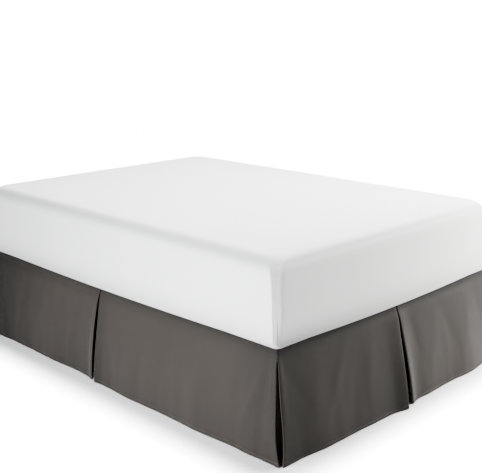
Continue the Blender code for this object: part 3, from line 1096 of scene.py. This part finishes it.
# The plain box base and its legs

baseLow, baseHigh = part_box("base")
baseBox = {
    "edge": 0.015,
    "edgeSteps": 6,
    "colour": (0.42, 0.41, 0.39),
    "spread": 0.06,
    "mottleSize": 6.0,
    "mottleFine": 0.4,
    "threads": 700.0,
    "bump": 0.5,
    "bumpDistance": 0.0004,
    "roughness": 0.9,
}

turnedLeg = {
    # radius, and height above the floor
    "foot": ((0, 0), (0.0185, 0), (0.0205, 0.0006), (0.0212, 0.0024)),
    # radius, and distance below the base
    "head": ((0.0284, 0.003), (0.0288, 0.001), (0.0278, 0), (0, 0)),
    "steps": 48,
    "sharpFrom": 40,
    "colour": (0.060, 0.036, 0.022),
    "spread": 0.35,
    "grainScale": 60.0,
    "grainBend": 6.0,
    "grainDetail": 4.0,
    "grainStretch": 0.08,
    "bump": 0.15,
    "bumpDistance": 0.0005,
    "roughness": 0.42,
    "coat": 0.2,
}


def tickingCloth():
    material, tree, shader, base, weave = startCloth("base ticking", baseBox)[:5]
    link(tree, base, shader.inputs["Base Color"])
    addBump(tree, shader, weave, baseBox)
    setInputs(shader, {"Roughness": baseBox["roughness"]})
    return material


def legWood():
    look = turnedLeg
    material, tree, shader = startMaterial("leg wood")
    place = addNode(tree, "ShaderNodeTexCoord", (-1100, 0))
    grain = addNode(tree, "ShaderNodeTexWave", (-700, 0), bands_direction="X")
    setInputs(grain, {
        "Scale": look["grainScale"],
        "Distortion": look["grainBend"],
        "Detail": look["grainDetail"],
    })
    stretch = addNode(tree, "ShaderNodeMapping", (-900, 0))
    stretch.inputs["Scale"].default_value = (1, 1, look["grainStretch"])
    link(tree, place.outputs["Object"], stretch.inputs["Vector"])
    link(tree, stretch.outputs[0], grain.inputs["Vector"])
    tone = mathNode(tree, "MULTIPLY_ADD", (-500, 0), grain.outputs["Fac"], 2.0, -1.0)
    link(tree, toned(tree, tone, look), shader.inputs["Base Color"])
    addBump(tree, shader, grain.outputs["Fac"], look)
    setInputs(shader, {"Roughness": look["roughness"], "Coat Weight": look["coat"]})
    return material


def meshPiece(name, bm, material):
    mesh = bpy.data.meshes.new(name)
    bm.to_mesh(mesh)
    bm.free()
    mesh.materials.append(material)
    mesh.shade_smooth()
    piece = bpy.data.objects.new(name, mesh)
    bpy.context.scene.collection.objects.link(piece)
    return piece


def buildBase(material):
    bm = bmesh.new()
    bmesh.ops.create_cube(bm, size=1)
    bmesh.ops.scale(bm, verts=bm.verts, vec=baseHigh - baseLow)
    bmesh.ops.translate(bm, verts=bm.verts, vec=(baseHigh + baseLow) / 2)
    edge, steps = baseBox["edge"], baseBox["edgeSteps"]
    bmesh.ops.bevel(bm, geom=bm.edges[:], offset=edge, segments=steps, profile=0.5, affect="EDGES")
    piece = meshPiece("base_box", bm, material)
    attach(piece, "root")
    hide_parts("base")
    print("box base")


def buildLegs(material):
    for side in ("left", "right"):
        for place in ("foot", "middle", "head"):
            node = f"leg_{side}_{place}"
            low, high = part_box(node)
            x, y = (low[0] + high[0]) / 2, (low[1] + high[1]) / 2
            profile = [*turnedLeg["foot"], *((r, high[2] - below) for r, below in turnedLeg["head"])]
            bm = bmesh.new()
            line = [bm.verts.new((r, 0, z)) for r, z in profile]
            edges = [bm.edges.new(pair) for pair in zip(line, line[1:])]
            turned = {"axis": (0, 0, 1), "angle": 2 * pi, "steps": turnedLeg["steps"]}
            bmesh.ops.spin(bm, geom=line + edges, use_merge=True, **turned)
            bmesh.ops.remove_doubles(bm, verts=bm.verts, dist=0.00001)
            bmesh.ops.recalc_face_normals(bm, faces=bm.faces)
            bmesh.ops.translate(bm, verts=bm.verts, vec=(x, y, 0))
            piece = meshPiece("turned_" + node, bm, material)
            piece.data.set_sharp_from_angle(angle=radians(turnedLeg["sharpFrom"]))
            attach(piece, "root")
            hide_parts(node)
    print("six turned legs")


buildBase(tickingCloth())
buildLegs(legWood())


# Floor, light and camera

studio = {
    "floor": 7.0,
    "floorSteps": 8,
    "floorColour": (0.90, 0.90, 0.90),
    "floorRoughness": 0.9,
    "floorGlow": 4.4,
    "glowNear": 0.0,
    "glowFrom": 0.09,
    "glowTo": 0.30,
    "backdrop": 5.0,
    "ambient": 0.03,
    "tints": {"cool": (0.975, 0.985, 1.0), "warm": (1.0, 0.975, 0.95), "plain": (1.0, 1.0, 1.0)},
    "lights": (
        # name, place, target, size, watts, tint
        ("low left softbox", (-2.3, -0.7, 1.0), (-0.75, -0.5, 0.2), 0.8, 35, "cool"),
        ("high left softbox", (-2.8, 0.9, 3.2), (-0.6, -0.2, 0.4), 1.4, 60, "cool"),
        ("right softbox", (2.4, -2.2, 2.4), (0.5, -0.9, 0.3), 1.2, 80, "warm"),
        ("low right softbox", (1.6, -1.5, 0.9), (0.45, -1.05, 0.3), 0.5, 25, "warm"),
        ("rear softbox", (1.8, 2.8, 1.8), (0.2, 0.6, 0.4), 1.5, 50, "plain"),
        ("far ceiling softbox", (0.4, 0.6, 4.0), (0, 0, 0.6), 2.5, 40, "plain"),
        ("near ceiling softbox", (0.6, -0.5, 2.8), (0.2, -0.3, 0.6), 1.2, 65, "plain"),
    ),
}

shot = {
    "place": (-2.021, -1.854, 1.497),
    "yaw": 44.868,
    "pitch": 14.222,
    "roll": 0.235,
    "lens": 64.4,
    "sensor": 36,
    "shift": 0.0017,
}


def buildFloor():
    # pale paper, which glows for the camera alone, less and less towards the bed that it carries
    bm = bmesh.new()
    steps = studio["floorSteps"]
    bmesh.ops.create_grid(bm, x_segments=steps, y_segments=steps, size=studio["floor"])
    material, tree, shader = startMaterial("pale floor")
    shader.inputs["Base Color"].default_value = (*studio["floorColour"], 1)
    shader.inputs["Roughness"].default_value = studio["floorRoughness"]
    place = addNode(tree, "ShaderNodeNewGeometry", (-1500, -300))
    sides = addNode(tree, "ShaderNodeSeparateXYZ", (-1300, -300))
    link(tree, place.outputs["Position"], sides.inputs[0])
    away = []
    edges = ((0, 0.0, bed["width"] / 2), (1, bed["middle"], bed["length"] / 2))
    for i, middle, half in edges:
        off = mathNode(tree, "SUBTRACT", (-1100, -200 - 200 * i), sides.outputs[i], middle)
        far = mathNode(tree, "ABSOLUTE", (-950, -200 - 200 * i), off)
        past = mathNode(tree, "SUBTRACT", (-800, -200 - 200 * i), far, half)
        away.append(mathNode(tree, "MAXIMUM", (-650, -200 - 200 * i), past, 0.0))
    squares = [mathNode(tree, "MULTIPLY", (-500, -200), one, one) for one in away]
    apart = mathNode(tree, "SQRT", (-350, -300), mathNode(tree, "ADD", (-420, -300), *squares))
    ramp = addNode(tree, "ShaderNodeMapRange", (-200, -300), interpolation_type="SMOOTHSTEP")
    setInputs(ramp, {
        "From Min": studio["glowFrom"],
        "From Max": studio["glowTo"],
        "To Min": studio["glowNear"],
        "To Max": studio["floorGlow"],
    })
    link(tree, apart, ramp.inputs["Value"])
    rays = addNode(tree, "ShaderNodeLightPath", (-200, -600))
    glow = mathNode(tree, "MULTIPLY", (0, -400), ramp.outputs[0], rays.outputs["Is Camera Ray"])
    shader.inputs["Emission Color"].default_value = (1, 1, 1, 1)
    link(tree, glow, shader.inputs["Emission Strength"])
    floor = meshPiece("studio_floor", bm, material)


def buildLights():
    world = bpy.data.worlds.new("studio")
    bpy.context.scene.world = world
    world.use_nodes = True
    tree = world.node_tree
    background = tree.nodes["Background"]
    background.inputs["Color"].default_value = (1, 1, 1, 1)
    rays = addNode(tree, "ShaderNodeLightPath", (-500, 0))
    ambient = studio["ambient"]
    gain = studio["backdrop"] - ambient
    strength = mathNode(tree, "MULTIPLY_ADD", (-250, 0), rays.outputs["Is Camera Ray"], gain, ambient)
    link(tree, strength, background.inputs["Strength"])
    for name, place, target, size, watts, tint in studio["lights"]:
        lamp = bpy.data.lights.new(name, "AREA")
        lamp.shape = "SQUARE"
        lamp.size = size
        lamp.energy = watts
        lamp.color = studio["tints"][tint]
        lampObject = bpy.data.objects.new(name, lamp)
        lampObject.location = place
        lampObject.visible_camera = False
        lampObject.rotation_euler = (Vector(target) - Vector(place)).to_track_quat("-Z", "Y").to_euler()
        bpy.context.scene.collection.objects.link(lampObject)


def buildCamera():
    yaw, pitch, roll = (radians(shot[key]) for key in ("yaw", "pitch", "roll"))
    ahead = Vector((sin(yaw) * cos(pitch), cos(yaw) * cos(pitch), -sin(pitch)))
    level = Vector((cos(yaw), -sin(yaw), 0))
    down = ahead.cross(level)
    right = cos(roll) * level + sin(roll) * down
    below = cos(roll) * down - sin(roll) * level
    lens = bpy.data.cameras.new("camera")
    lens.sensor_fit = "HORIZONTAL"
    lens.sensor_width = shot["sensor"]
    lens.lens = shot["lens"]
    lens.shift_x = shot["shift"]
    camera = bpy.data.objects.new("camera", lens)
    turn = Matrix((right, -below, -ahead)).transposed().to_4x4()
    place = Vector((bed["left"], bed["foot"], 0)) + Vector(shot["place"])
    camera.matrix_world = Matrix.Translation(place) @ turn
    bpy.context.scene.collection.objects.link(camera)
    bpy.context.scene.camera = camera


buildFloor()
buildLights()
buildCamera()
bpy.context.scene.view_settings.view_transform = "AgX"
bpy.context.scene.view_settings.look = "AgX - High Contrast"
print("floor, light and camera")
